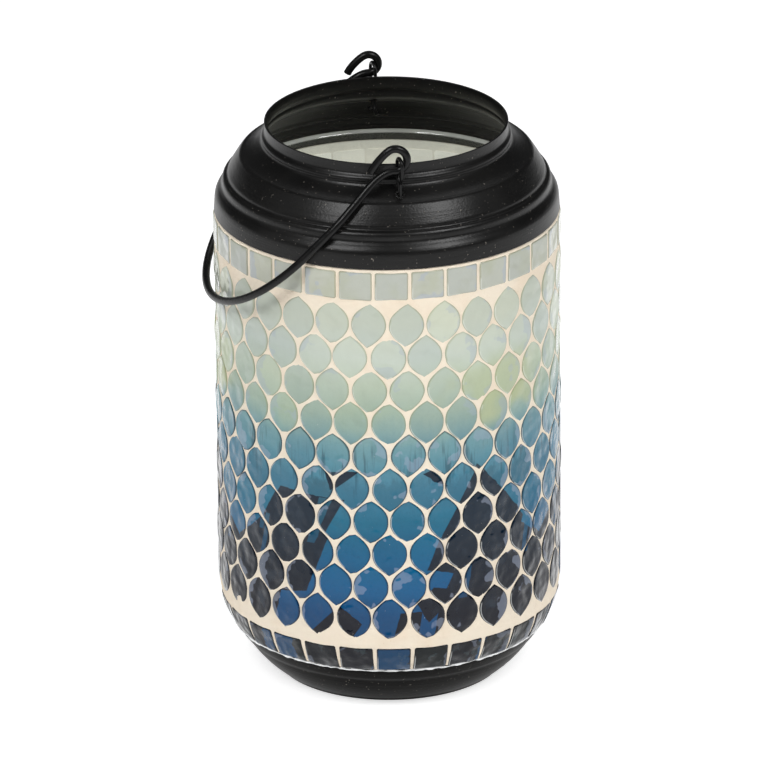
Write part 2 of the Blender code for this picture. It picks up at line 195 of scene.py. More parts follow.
class Shader:
    """A node material round one Principled shader. Constants are given by its socket names."""

    def __init__(self, name, **constants):
        self.material = bpy.data.materials.new(name)
        self.material.use_nodes = True
        self.tree = self.material.node_tree
        self.surface = self.tree.nodes["Principled BSDF"]
        for socket, value in constants.items():
            self.surface.inputs[socket.replace("_", " ")].default_value = value

    def node(self, kind, settings=None, inputs=None, output=0):
        """Any node: its settings are set first, then its sockets get values or links."""
        made = self.tree.nodes.new(kind)
        for setting, value in (settings or {}).items():
            if setting == "stops":
                self.set_stops(made.color_ramp.elements, value)
            else:
                setattr(made, setting, value)
        for key, value in (inputs or {}).items():
            self.join(value, made.inputs[key])
        return Socket(self, made.outputs[output])

    def join(self, value, target):
        if isinstance(value, Socket):
            self.tree.links.new(value.socket, target)
        else:
            target.default_value = value

    def feed(self, **values):
        for socket, value in values.items():
            self.join(value, self.surface.inputs[socket.replace("_", " ")])

    def place(self):
        return self.node("ShaderNodeTexCoord", output="Object")

    def attribute(self, name):
        return self.node("ShaderNodeAttribute", {"attribute_name": name}, output="Fac")

    def noise(self, scale, detail=2.0, roughness=0.5, stretch=None):
        where = self.place()
        if stretch:
            where = self.node("ShaderNodeVectorMath", {"operation": "MULTIPLY"}, {0: where, 1: stretch})
        inputs = {"Vector": where, "Scale": scale, "Detail": detail, "Roughness": roughness}
        return self.node("ShaderNodeTexNoise", {}, inputs, output="Fac")

    def mix(self, factor, first, second, blend="MIX"):
        return self.node(
            "ShaderNodeMix",
            {"data_type": "RGBA", "blend_type": blend},
            {0: factor, 6: first, 7: second},
            output=2,
        )

    @staticmethod
    def set_stops(elements, stops):
        """Gives a ramp its stops of (position, colour)."""
        while len(elements) < len(stops):
            elements.new(0.5)
        for element, (position, colour) in zip(elements, stops):
            element.position = position
            element.color = colour

    def ramp(self, factor, stops):
        """A smooth run of colours."""
        return self.node("ShaderNodeValToRGB", {"stops": stops}, {"Fac": factor})

    def bump(self, height, distance, normal=None):
        """A Bump node, over an earlier one's normal if that is given."""
        inputs = {"Height": height, "Distance": distance, "Strength": 1.0}
        if normal:
            inputs["Normal"] = normal
        return self.node("ShaderNodeBump", {}, inputs)

    def cylinder(self):
        """(degrees round the jar from the mosaic's front, height) as sockets."""
        parts = self.node("ShaderNodeSeparateXYZ", {}, {0: self.place()})
        x, y, z = (parts.outlet(axis) for axis in "XYZ")
        turn = math_node("ARCTAN2", y, x) * math.degrees(1.0) - math.degrees(mosaic_front)
        return turn, z

    def pattern_place(self):
        """(degrees round the pattern, millimetres up from where the wall turns in) as sockets."""
        turn, height = self.cylinder()
        return math_node("WRAP", turn, 60.0, -60.0), height * 1000 - arc_height * 1000


def inside_shape(around, up, corners, soft=0.15):
    """1 inside a convex shape of (degrees round, millimetres up) corners, 0 outside."""
    area = sum(a[0] * b[1] - b[0] * a[1] for a, b in zip(corners, corners[1:] + corners[:1]))
    facing = 1.0 if area > 0 else -1.0
    depth = None
    for (x0, y0), (x1, y1) in zip(corners, corners[1:] + corners[:1]):
        length = math.hypot(x1 - x0, y1 - y0)
        a, b = -(y1 - y0) / length * facing, (x1 - x0) / length * facing
        side = around * a + up * b - (a * x0 + b * y0)
        depth = side if depth is None else math_node("MINIMUM", depth, side)
    return depth.step(-soft, soft)


# The dark glaze runs over the tiles in straight-edged patches, with paler stripes across some of them.
# The pattern goes three times round the jar. Corners are (degrees round, millimetres up from where the
# wall turns in).
DARK_PATCHES = (
    ((-47, 32), (-39, 45), (-15, 44), (-24, 28)),
    ((-57, 24), (-47, 33), (-21, 31), (-29, 11), (-44, 8)),
    ((-72, 14), (-54, 27), (-38, 12), (-42, -4), (-70, -4)),
    ((13, 20), (18, 32), (31, 54), (40, 44), (51, 31), (44, 12)),
    ((17, 10), (22, 20), (50, 29), (70, 14), (62, -20), (12, -20)),
    ((9, 9), (14, 14), (24, 12), (13, 2)),
    ((-30, -5), (-17, 8), (-9, 2), (-16, -8)),
    ((1, -5), (4, 6), (11, 6), (9, -6)),
    ((-19, 47), (-21, 53), (-10, 54), (-15, 50)),
    ((-9, 51), (-14, 55), (-6, 47), (-7, 44)),
    ((11, 53), (14, 54), (20, 48), (15, 50)),
)
LIGHT_STRIPES = (
    ((-49, 18), (-45, 34), (-43, 34), (-47, 18)),
    ((-46, 44), (-44, 44), (-47, 28), (-49, 28)),
    ((-23, 44), (-19, 44), (-26, 28), (-29, 28)),
    ((50, 18), (53, 34), (55, 34), (52, 18)),
    ((23, 9), (25, 20), (28, 20), (26, 9)),
)

# Glaze colours up the wall, in millimetres from where the wall turns in
GLAZE = (
    (-18, (36, 74, 108)),
    (4, (32, 80, 118)),
    (15, (36, 94, 136)),
    (26, (42, 100, 134)),
    (37, (52, 108, 134)),
    (47, (74, 126, 150)),
    (56, (92, 136, 152)),
    (63, (112, 148, 156)),
    (67, (132, 160, 158)),
    (73, (156, 174, 160)),
    (84, (180, 191, 175)),
    (93, (190, 198, 188)),
    (104, (192, 197, 182)),
    (112, (190, 195, 180)),
    (122, (182, 187, 176)),
)
glaze_low = GLAZE[0][0]
glaze_span = GLAZE[-1][0] - glaze_low

# Petal glass from the top row down: finish, rows that have it, share of dark glaze, share of olive
PETAL_GLASS = (
    ("pale_tile_glass", 3, 0.0, 0.6),
    ("sage_tile_glass", 1, 0.0, 0.9),
    ("teal_tile_glass", 1, 0.9, 0.0),
    ("blue_tile_glass", 2, 1.0, 0.0),
    ("deep_blue_tile_glass", 3, 1.0, 0.0),
)


def glass_tint(red, green, blue):
    """The glaze under a glossy face: the display colour less what the face itself reflects."""
    linear = srgb(red, green, blue)
    return (*(max(0.002, part * 0.97 - 0.026) for part in linear[:3]), 1.0)


def finish_tile(shader, colour, reflection_share, edge_shade_colour, edge_shade_share, wave_depth):
    """What all the tiles share: painted reflection patches and painted highlights near the edges, a rim of
    painted shade, specks, and pale backs that glow as painted light.
    """
    around, _ = shader.pattern_place()
    tone, edge, side, rise, behind = (shader.attribute(name) for name in TILE_MARKS)
    # Painted reflection: pale lilac-grey patches, mostly on tiles towards the jar's sides, stand in for the
    # studio reflected in the glass.
    ragged = shader.noise(170)
    lopsided = side * around / 60
    painted_reflection = (ragged + edge * edge * 0.14 + lopsided * 0.22 + tone * 0.16).step(0.785, 0.82)
    painted_reflection = painted_reflection * (1 - edge.step(0.93, 0.97))
    colour = shader.mix(painted_reflection * reflection_share, colour, srgb(150, 160, 180))
    # Painted shade: each tile's rim is darkened towards the rim colour, standing in for the shade along the
    # glass's thick edge.
    colour = shader.mix(edge.step(0.88, 0.98) * edge_shade_share, colour, edge_shade_colour)
    # Painted highlight: near-white glints along each tile's lower-left edge, where the glass edge would catch
    # the light.
    corner = side * -0.75 + rise * -0.5 + (shader.noise(190, 2.0) - 0.5) * 2.2
    painted_glint = corner.step(0.5, 0.75) * edge.step(0.90, 0.92) * edge.step(0.975, 0.955)
    colour = shader.mix(painted_glint * 0.36, colour, srgb(232, 234, 232))
    specks = shader.noise(1500, 1.0).step(0.79, 0.83)
    colour = shader.mix(specks * 0.4, colour, srgb(205, 206, 200))
    back = behind.step(0.3, 0.6)
    back_colour = shader.mix(tone, srgb(208, 202, 190), srgb(222, 218, 208))
    colour = shader.mix(back, colour, back_colour)
    # Painted glow: the tile backs, seen inside the jar, give off light of their own in place of light coming
    # in through the mosaic.
    painted_glow = shader.mix(1.0, back_colour, (0.37, 0.385, 0.43, 1), "MULTIPLY")
    wave = shader.noise(170, 1.0) + shader.noise(480, 2.0) * 0.1
    shader.feed(
        Base_Color=colour,
        Emission_Color=shader.mix(back, (0, 0, 0, 1), painted_glow),
        Roughness=back * 0.6 + 0.07 + specks * 0.2,
        Normal=shader.bump(wave, wave_depth),
    )
    return shader.material


def olive_glaze(shader, around, up, tone):
    """Where the pale glaze turns olive: in drifts on the rows above the blue, mostly at one side."""
    patch = shader.noise(60, 1.0) + (tone - 0.5) * 0.25
    band = up.step(62.0, 70.0) * up.step(92.0, 84.0)
    side_band = around.step(-6.0, 8.0) * around.step(58.0, 50.0) * 0.8 + 0.2
    return patch.step(0.42, 0.6) * band * side_band


def dark_glaze(shader, around, up, tone):
    """Where the dark glaze lies: the straight-edged patches, smudges along their top and runs above them."""
    wobble = (shader.noise(420, 2.0) - 0.5) * 0.8
    moved = around + wobble + (tone - 0.5) * 1.5
    dark = None
    for corners in DARK_PATCHES:
        shape = inside_shape(moved, up + wobble, corners)
        dark = shape if dark is None else math_node("MAXIMUM", dark, shape)
    for corners in LIGHT_STRIPES:
        dark = dark * (1 - 0.5 * inside_shape(moved, up, corners))
    smudge = (shader.noise(230, 4.0, 0.7, stretch=(1.0, 1.0, 0.5)) - 0.5) * 16 + up
    low = (1 - smudge.step(49.0, 53.0)) * up.step(40.0, 46.0) * 0.45
    dark = math_node("MAXIMUM", dark, low * tone)
    run = shader.noise(620, 2.0, 0.6, stretch=(1.0, 1.0, 0.1)).step(0.5, 0.68)
    run = run * up.step(40.0, 48.0) * up.step(66.0, 58.0) * (0.2 + 0.35 * tone)
    return math_node("MAXIMUM", dark, run)


def tile_glass(name, dark_share, olive_share):
    """Back-painted glass: the glaze blends up the wall, with olive drifts high up and dark patches below."""
    shader = Shader(name, IOR=1.5, Specular_IOR_Level=0.27, Emission_Strength=1.0)
    around, up = shader.pattern_place()
    drift = shader.noise(70, 2.0) - 0.5
    streak = shader.noise(900, 2.0, stretch=(1.0, 1.0, 0.12)) - 0.5
    level = (up + drift * 7.0 + streak * 2.0 - glaze_low) / glaze_span
    stops = [((mm - glaze_low) / glaze_span, glass_tint(*colour)) for mm, colour in GLAZE]
    glaze = shader.ramp(level, stops)
    tone = shader.attribute("tone")
    cool = shader.mix(1.0, glaze, (0.88, 0.90, 0.93, 1), "MULTIPLY")
    warm = shader.mix(1.0, glaze, (1.10, 1.09, 1.04, 1), "MULTIPLY")
    colour = shader.mix(tone, cool, warm)
    if olive_share:
        olive = olive_glaze(shader, around, up, tone)
        colour = shader.mix(olive * olive_share, colour, glass_tint(176, 184, 148))
    if dark_share:
        dark = dark_glaze(shader, around, up, tone)
        navy = shader.mix(up.step(-8.0, 46.0), glass_tint(34, 38, 52), glass_tint(42, 56, 66))
        navy = shader.mix(shader.noise(150, 3.0).step(0.5, 0.75) * 0.5, navy, glass_tint(66, 74, 84))
        colour = shader.mix(dark * dark_share, colour, navy)
    foot = shader.attribute("rise").step(-0.3, -1.0) * up.step(74.0, 50.0) * 0.34
    grain = shader.noise(1100, 3.0, 0.7).step(0.45, 0.75) * up.step(100.0, 40.0) * 0.2
    darker = shader.mix(1.0, colour, (0.40, 0.46, 0.52, 1), "MULTIPLY")
    colour = shader.mix(math_node("MAXIMUM", foot, grain), colour, darker)
    if olive_share:
        return finish_tile(shader, colour, 0.3, glass_tint(150, 152, 122), 0.5, 0.0013)
    return finish_tile(shader, colour, 0.34, (0.004, 0.006, 0.010, 1), 0.7, 0.0016)


def border_glass(name):
    """The upper squares: pale grey-green glass that shows a little of the grout behind it."""
    shader = Shader(name, IOR=1.5, Specular_IOR_Level=0.4, Emission_Strength=1.0)
    tone = shader.attribute("tone")
    base = shader.mix(tone, glass_tint(172, 176, 170), glass_tint(184, 186, 172))
    blot = shader.noise(120, 2.0).step(0.45, 0.7)
    base = shader.mix(blot * 0.35, base, glass_tint(166, 170, 144))
    return finish_tile(shader, base, 0.4, glass_tint(150, 148, 118), 0.45, 0.0013)


def navy_glass(name):
    """The lower squares: navy with blue patches."""
    shader = Shader(name, IOR=1.5, Specular_IOR_Level=0.25, Emission_Strength=1.0)
    around, _ = shader.pattern_place()
    tone = shader.attribute("tone")
    blue = None
    for middle, half in ((0.5, 6.0), (-39.0, 4.0), (-47.0, 2.5), (33.0, 1.2)):
        distance = math_node("ABSOLUTE", around - middle + (shader.noise(300, 2.0) - 0.5) * 6.0)
        patch = distance.step(half + 0.4, half - 0.4)
        blue = patch if blue is None else math_node("MAXIMUM", blue, patch)
    blots = shader.noise(240, 4.0, 0.65).step(0.56, 0.62)
    colour = shader.mix(tone, glass_tint(34, 40, 52), glass_tint(42, 50, 50))
    colour = shader.mix(blue, colour, glass_tint(30, 72, 100))
    colour = shader.mix(blots * 0.25, colour, glass_tint(84, 98, 102))
    return finish_tile(shader, colour, 0.2, (0.003, 0.004, 0.006, 1), 0.85, 0.0018)


def grout_paint(name):
    """Cream tile grout: matt and sandy, with tan stains and pits. Its back glows as painted light, standing
    in for light inside the jar.
    """
    shader = Shader(name, Roughness=0.85, IOR=1.45, Emission_Strength=1.0)
    sand = shader.noise(2600, 3.0, 0.7)
    stain = shader.noise(60, 3.0, 0.6).step(0.4, 0.75)
    colour = shader.mix(stain * 0.6, srgb(232, 220, 201), srgb(225, 206, 182))
    colour = shader.mix(sand.step(0.62, 0.8) * 0.35, colour, srgb(214, 186, 156))
    pits = shader.noise(700, 2.0).step(0.72, 0.8)
    colour = shader.mix(pits * 0.4, colour, srgb(200, 170, 138))
    normal = shader.bump(sand, 0.00022)
    normal = shader.bump(shader.noise(240, 2.0), 0.0007, normal)
    back = shader.attribute("behind").step(0.4, 0.6)
    shader.feed(
        Base_Color=shader.mix(back, colour, srgb(210, 203, 190)),
        # Painted glow: the grout's back gives off a little light of its own.
        Emission_Color=shader.mix(back, (0, 0, 0, 1), (0.20, 0.20, 0.20, 1)),
        Normal=normal,
    )
    return shader.material


def black_enamel(name, ridged=True, shine=0.25):
    """Satin black paint. On ridged sheet it shows fine rings from spinning and a few dust specks."""
    shader = Shader(name, IOR=1.5, Specular_IOR_Level=shine)
    fog = shader.noise(45, 3.0, 0.6)
    colour = shader.mix(fog.step(0.35, 0.8), (0.0035, 0.0034, 0.0033, 1), (0.007, 0.0068, 0.0064, 1))
    roughness = fog * 0.12 + 0.27
    normal = shader.bump(shader.noise(1400), 0.00005)
    if ridged:
        dust = shader.noise(1300, 1.0, 0.6).step(0.73, 0.76)
        colour = shader.mix(dust * 0.55, colour, srgb(138, 132, 124))
        roughness = roughness + dust * 0.3
        rings = shader.noise(1500, stretch=(0.02, 0.02, 1.0))
        normal = shader.bump(rings, 0.00005, normal)
    shader.feed(Base_Color=colour, Roughness=roughness, Normal=normal)
    return shader.material


def wire_enamel(name):
    """Black paint on wire: smoother than on the sheet, and worn a little."""
    shader = Shader(name, IOR=1.5, Specular_IOR_Level=0.2)
    wear = shader.noise(420, 3.0, 0.6)
    colour = shader.mix(wear.step(0.55, 0.8), (0.0035, 0.0035, 0.0035, 1), (0.007, 0.0068, 0.0065, 1))
    shader.feed(
        Base_Color=colour,
        Roughness=wear * 0.2 + 0.2,
        Normal=shader.bump(shader.noise(900, 2.0), 0.00006),
    )
    return shader.material


def clear_glass(name):
    """The jar: clear glass, see-through face on, reflecting at a slant and greener along its rim."""
    shader = Shader(name, Roughness=0.03, IOR=1.5)
    ripple = shader.noise(120, 2.0)
    _, height = shader.cylinder()
    shader.feed(
        Base_Color=shader.mix(ripple, (0.80, 0.84, 0.76, 1), (0.88, 0.90, 0.84, 1)),
        Normal=shader.bump(ripple, 0.0003),
    )
    through = shader.node("ShaderNodeBsdfTransparent", {}, {"Color": (0.95, 0.965, 0.94, 1)})
    gloss = shader.node("ShaderNodeBsdfGlossy", {}, {"Roughness": 0.03, "Color": (1, 1, 1, 1)})
    facing = shader.node("ShaderNodeLayerWeight", {}, {"Blend": 0.5}, output="Facing")
    slant = math_node("POWER", facing, 5.0) * 0.9 + 0.04
    rim = height.step(glass_high.z - 0.0012, glass_high.z - 0.0004)
    both = shader.node("ShaderNodeMixShader", {}, {0: slant, 1: through, 2: gloss})
    body = Socket(shader, shader.surface.outputs["BSDF"])
    shown = shader.node("ShaderNodeMixShader", {}, {0: rim * 0.55, 1: both, 2: body})
    output = shader.tree.nodes["Material Output"]
    shader.tree.links.new(shown.socket, output.inputs["Surface"])
    return shader.material


def plain_paint(name, low, high, rough, scale, depth, **constants):
    """A finish that drifts between two colours, with a light bump."""
    shader = Shader(name, **constants)
    drift = shader.noise(scale, 3.0, 0.6)
    shader.feed(
        Base_Color=shader.mix(drift, (*low, 1), (*high, 1)),
        Roughness=drift * 0.15 + (rough - 0.07),
        Normal=shader.bump(drift, depth),
    )
    return shader.material


# ---- Building


def piece(name, bm, material, nodes=(), body="jar"):
    """Links a shown piece, gives it its finish and sets what it rides on and stands for."""
    bmesh.ops.recalc_face_normals(bm, faces=bm.faces)
    mesh = bpy.data.meshes.new(name)
    bm.to_mesh(mesh)
    bm.free()
    mesh.shade_smooth()
    mesh.set_sharp_from_angle(angle=math.radians(40.0))
    mesh.materials.append(material)
    obj = bpy.data.objects.new(name, mesh)
    bpy.context.scene.collection.objects.link(obj)
    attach(obj, body)
    if nodes:
        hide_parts(*nodes)
    return obj


def stitch(bm, rings):
    """Faces between each ring of points and the next."""
    for ring, after in zip(rings, rings[1:]):
        for step in range(len(ring)):
            turn = (step + 1) % len(ring)
            bm.faces.new((ring[step], ring[turn], after[turn], after[step]))


def arc_point(depth, angle):
    """(radius, height) on the arc, this far behind the tiles' faces."""
    reach = arc_radius - depth
    return arc_centre + reach * math.cos(angle), arc_height - reach * math.sin(angle)


def wall_point(along, depth):
    """(radius, height) on the wall; along is measured up from where the wall turns in."""
    if along >= 0.0:
        return tile_radius - depth, arc_height + along
    return arc_point(depth, -along / arc_radius)


def turned(outline, segments, wobble=None):
    """A closed outline of (radius, height) turned about Z. Points on the axis stay single."""
    bm = bmesh.new()
    rings = []
    for radius, height in outline:
        if radius < 1e-7:
            rings.append([bm.verts.new((0, 0, height))] * segments)
            continue
        ring = []
        for step in range(segments):
            angle = math.tau * step / segments
            r = radius + (wobble(angle, height, radius) if wobble else 0.0)
            ring.append(bm.verts.new((r * math.cos(angle), r * math.sin(angle), height)))
        rings.append(ring)
    for ring, after in zip(rings, rings[1:] + rings[:1]):
        for step in range(segments):
            turn = (step + 1) % segments
            distinct = list(dict.fromkeys((ring[step], ring[turn], after[turn], after[step])))
            if len(distinct) > 2:
                bm.faces.new(distinct)
    return bm


def smooth_path(points, steps):
    """A curve through points, with this many steps from each to the next."""
    path = [Vector(p) for p in points]
    out = []
    for index in range(len(path) - 1):
        before = path[max(0, index - 1)]
        start, end = path[index], path[index + 1]
        after = path[min(len(path) - 1, index + 2)]
        for step in range(steps):
            t = step / steps
            square = (before * 2 - start * 5 + end * 4 - after) * t**2
            cube = (start * 3 - before - end * 3 + after) * t**3
            out.append(0.5 * (start * 2 + (end - before) * t + square + cube))
    return out + [path[-1]]


def inner_side(outline, thickness):
    """The outline moved square to itself towards the axis."""
    moved = []
    for index, point in enumerate(outline):
        before = outline[max(0, index - 1)]
        after = outline[min(len(outline) - 1, index + 1)]
        along = (after - before).normalized()
        moved.append(Vector((point.x + along.y * thickness, point.y - along.x * thickness)))
    return moved


# What the glass materials read at each point of a tile: its own tone, how far out it is from the middle,
# where it is across and up the tile, and whether it is on the back
TILE_MARKS = ("tone", "edge", "side", "rise", "behind")
# Rounded edge of a tile: share of the way out from its middle, and how far the glass falls away there
TILE_RINGS = (
    (0.45, 0.0), (0.80, 0.00001), (0.90, 0.00004), (0.955, 0.00013), (0.985, 0.00027), (1.0, 0.00048),
)
# The back's outline against the face's
TILE_BACK_SHARE = 0.99


def lay_tile(bm, outline, middle, angle, lean, tone):
    """One closed glass tile on the wall from an outline of (across, up) points about its middle.

    Lean is how much deeper the face gets for each metre across and up.
    """
    layers = {name: bm.verts.layers.float[name] for name in TILE_MARKS}
    half = max(abs(u) for u, _ in outline)
    tall = max(abs(v) for _, v in outline)
    wall_radius = wall_point(middle, 0.0)[0]
    fall = wall_radius * (1 - math.cos(half / wall_radius))
    outward = Vector((math.cos(angle), math.sin(angle), 0.0))
    sideways = Vector((-math.sin(angle), math.cos(angle), 0.0))
    reach = max(abs(lean[0] * u + lean[1] * v) for u, v in outline)

    def vertex(u, v, depth, edge, behind=0.0):
        sunk = depth if behind else depth + reach + lean[0] * u + lean[1] * v
        radius, height = wall_point(middle + v, sunk)
        made = bm.verts.new(outward * (radius - fall) + sideways * u + Vector((0, 0, height)))
        marks = {"tone": tone, "edge": edge, "side": u / half, "rise": v / tall, "behind": behind}
        for name, layer in layers.items():
            made[layer] = marks[name]
        return made

    centre = vertex(0.0, 0.0, 0.0, 0.0)
    rings = [[vertex(u * s, v * s, d, s) for u, v in outline] for s, d in TILE_RINGS]
    share = TILE_BACK_SHARE
    rings.append([vertex(u * share, v * share, tile_back_depth, 1.0, 1.0) for u, v in outline])
    back = vertex(0.0, 0.0, tile_back_depth, 0.0, 1.0)
    count = len(outline)
    for step in range(count):
        turn = (step + 1) % count
        bm.faces.new((centre, rings[0][step], rings[0][turn]))
        for ring, after in zip(rings, rings[1:]):
            bm.faces.new((ring[step], after[step], after[turn], ring[turn]))
        bm.faces.new((rings[-1][turn], rings[-1][step], back))


def petal_outline(width, height):
    """A hand-cut pointed oval: (across, up) points, no two alike."""
    left, right = (width / 2 * chance.uniform(0.965, 1.0) for _ in range(2))
    top, bottom = (height / 2 * chance.uniform(1.015, 1.07) for _ in range(2))
    swell = chance.uniform(2.0, 2.4)
    shift = chance.uniform(-0.5, 0.5) * 0.1
    seed = Vector((chance.random() * 90, 0, 0))
    blunt = chance.choice((0.0, 0.0, 0.03, 0.06))
    turn = Matrix.Rotation(math.radians(chance.uniform(-3.0, 3.0)), 2)
    tip_share = 0.035
    raggedness = 0.00007
    steps = 18
    points = []
    for side, reach in ((1, right), (-1, left)):
        for step in range(steps):
            t = 1 - 2 * step / steps if side > 0 else -1 + 2 * step / steps
            t *= 1 - blunt * abs(t) ** 8
            bulge = (1 - abs(t) ** swell) * (1 + shift * t)
            ragged = raggedness * noise.noise(seed + Vector((side * 3, t * 4, 0)))
            across = side * (reach * max(bulge, tip_share) + ragged)
            up = t * (top if t > 0 else bottom)
            points.append(tuple(turn @ Vector((across, up))))
    return points


def square_outline(width, height):
    """A hand-cut square with slightly off corners, as points round its sides."""
    corners = []
    for across, up in ((1, 1), (1, -1), (-1, -1), (-1, 1)):
        u = across * width / 2 * chance.uniform(0.965, 1.0)
        v = up * height / 2 * chance.uniform(0.965, 1.0)
        corners.append(Vector((u, v)))
    cut = 0.0004
    points = []
    for index, corner in enumerate(corners):
        before, after = corners[index - 1], corners[(index + 1) % 4]
        points.append(tuple(corner + (before - corner).normalized() * cut))
        points.append(tuple(corner + (after - corner).normalized() * cut))
        for step in (0.25, 0.5, 0.75):
            points.append(tuple(corner.lerp(after, step)))
    return points


def mosaic_mesh():
    """An empty mesh that can hold the tiles' marks."""
    bm = bmesh.new()
    for name in TILE_MARKS:
        bm.verts.layers.float.new(name)
    return bm


def lay_petals(row, material):
    """One row of petals, each set off a little by hand. Rows are staggered by half a petal."""
    node = f"tile_row_{row + 1:02d}"
    row_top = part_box(node)[1].z
    middle = row_top - petal_height / 2 - arc_height
    stagger = 0.5 if row % 2 == 0 else 0.0
    slip_across, slip_up = 0.00025, 0.0002
    bm = mosaic_mesh()
    for petal in range(petals_per_row):
        angle = mosaic_front + (petal + stagger) * math.tau / petals_per_row
        angle += chance.uniform(-slip_across, slip_across) / tile_radius
        outline = petal_outline(petal_width, petal_height)
        lean = chance.uniform(-0.018, 0.018), chance.uniform(-0.015, 0.015)
        up = middle + chance.uniform(-slip_up, slip_up)
        lay_tile(bm, outline, up, angle, lean, chance.random())
    piece(f"petal_tiles_{row + 1:02d}", bm, material, [node])


def lay_squares(name, node, count, front, top, bottom, material):
    """A border row of squares between two places along the wall, one of them centred at the front angle."""
    bm = mosaic_mesh()
    middle = (top + bottom) / 2
    width = math.tau * wall_point(middle, 0.0)[0] / count - square_joint
    for square in range(count):
        angle = front + square * math.tau / count
        outline = square_outline(width, top - bottom)
        lean = chance.uniform(-0.02, 0.02), chance.uniform(-0.016, 0.016)
        lay_tile(bm, outline, middle, angle, lean, chance.random())
    piece(name, bm, material, [node])


def uneven_grout(angle, height, radius):
    """How far the grout stands out of true here. Its back is even."""
    if radius < tile_radius - grout_back_depth + 0.0004 and height > arc_height:
        return 0.0
    spot = Vector((math.cos(angle) * 8, math.sin(angle) * 8, height * 150))
    return 0.00009 * noise.noise(spot) + 0.00004 * noise.noise(spot * 3.1)


def make_grout(material):
    """The skin that the tiles are bedded in. It sinks where the collar's skirt or the dish covers it."""
    segments, steps = 240, 252
    top = collar_base + 0.0018 - arc_height
    bottom = -(lip_angle + math.radians(3.0)) * arc_radius
    places = [top + (bottom - top) * step / steps for step in range(steps + 1)]
    skirt_edge = collar_base - arc_height - 0.0001
    lip_edge = -lip_angle * arc_radius + 0.0002
    sink_run = 0.0004
    outside = []
    for along in places:
        covered = max(0.0, min(1.0, max(along - skirt_edge, lip_edge - along) / sink_run))
        outside.append(wall_point(along, grout_face_depth + grout_sink * covered))
    inside = [wall_point(along, grout_back_depth) for along in reversed(places[::18])]
    bm = turned(outside + inside, segments, uneven_grout)
    behind = bm.verts.layers.float.new("behind")
    bm.verts.ensure_lookup_table()
    for vertex in bm.verts[len(outside) * segments:]:
        vertex[behind] = 1.0
    piece("grout_bed", bm, material, ["grout_shell"])


def make_jar_glass(material):
    """The jar: a rounded rim, a straight wall, the arc and a flat floor."""
    deep = glass_depth + glass_thickness
    inner = tile_radius - deep
    half = glass_thickness / 2
    rim = glass_high.z - half
    bottom = glass_low.z
    floor = bottom + glass_floor
    heel = foot_radius - sheet - fit_gap
    steps = 8
    outline = []
    for step in range(steps + 1):
        angle = math.pi * step / steps
        outline.append((inner + half - math.cos(angle) * half, rim + math.sin(angle) * half))
    for step in range(steps + 1):
        outline.append(wall_point(-step * arc_radius * step_angle / steps, glass_depth))
    outline += [(heel - 0.0003, bottom + 0.0006), (heel - 0.0012, bottom), (0.0, bottom)]
    outline += [(0.0, floor), (heel - 0.0034, floor), (heel - 0.0020, floor + 0.0004)]
    outline += [arc_point(deep, step_angle * (steps - step) / steps) for step in range(steps + 1)]
    piece("jar_glass", turned(outline, 144), material, ["glass_jar"])


def collar_side():
    """The collar's outer side as a smooth run of (radius, height) from the mouth to the skirt's edge."""
    return smooth_path([(r / 1000, collar_top - drop / 1000) for r, drop in COLLAR_PROFILE], 3)


def collar_height_at(radius):
    """Height of the collar's outer side at a radius outside its neck."""
    neck_points = 18
    side = collar_side()[neck_points:]
    for upper, lower in zip(side, side[1:]):
        if upper.x <= radius <= lower.x:
            return upper.y + (lower.y - upper.y) * (radius - upper.x) / (lower.x - upper.x)
    return collar_base


def make_collar(material):
    """The spun collar, with a rolled rim and a hole for each wire loop."""
    outside = collar_side()
    inside = inner_side(outside, sheet)
    rim_profile = ((37.78, 0.02), (38.10, 0.0), (38.42, 0.02))
    rim = [Vector((r / 1000, collar_top - drop / 1000)) for r, drop in rim_profile]
    outline = [tuple(p) for p in outside[1:] + inside[::-1][:-1] + rim]
    collar = piece("spun_collar", turned(outline, 168), material, ["collar"])
    cutters = []
    for side in (-1, 1):
        bpy.ops.mesh.primitive_cylinder_add(
            vertices=28,
            radius=eyelet_hole_radius,
            depth=0.012,
            location=(0.0, side * hole_reach, collar_height_at(hole_reach)),
        )
        cutters.append(bpy.context.object)
        cut = collar.modifiers.new("loop_hole", "BOOLEAN")
        cut.operation = "DIFFERENCE"
        cut.solver = "EXACT"
        cut.object = cutters[-1]
    bpy.context.view_layer.update()
    cut_mesh = bpy.data.meshes.new_from_object(collar.evaluated_get(bpy.context.evaluated_depsgraph_get()))
    collar.modifiers.clear()
    collar.data = cut_mesh
    for cutter in cutters:
        bpy.data.objects.remove(cutter, do_unlink=True)


def make_dish(material):
    """The pressed dish: a lip round the jar, a step, a slightly swelling cone, a heel and a flat base."""
    steps = 5
    angles = [lip_angle + (step_angle - lip_angle) * step / steps for step in range(steps + 1)]
    lip = [Vector(arc_point(lip_depth, angle)) for angle in angles]
    cone_top = lip[-1] - Vector((0.0004, 0.0002))
    foot = Vector((foot_radius, 0.0))
    heel_height = 0.0006
    cone_foot = foot + Vector((0.0, heel_height))
    slope = (foot - cone_top).normalized()
    swell = Vector((-slope.y, slope.x)) * 0.0032
    shares = (0.0, 0.08, 0.2, 0.35, 0.5, 0.65, 0.8, 0.92)
    cone = [cone_top.lerp(cone_foot, share) + swell * share * (1 - share) for share in shares]
    heel = [foot + Vector(p) for p in ((0.00005, heel_height), (-0.0002, 0.00015), (-0.0008, 0.0))]
    base = [Vector((0, 0)), Vector((0, sheet)), Vector((foot_radius - sheet, sheet))]
    inside = [Vector(arc_point(lip_depth + sheet, angle)) for angle in reversed(angles)]
    outline = [tuple(p) for p in lip + cone + heel + base + inside]
    piece("pressed_dish", turned(outline, 160), material, ["base_dish"])


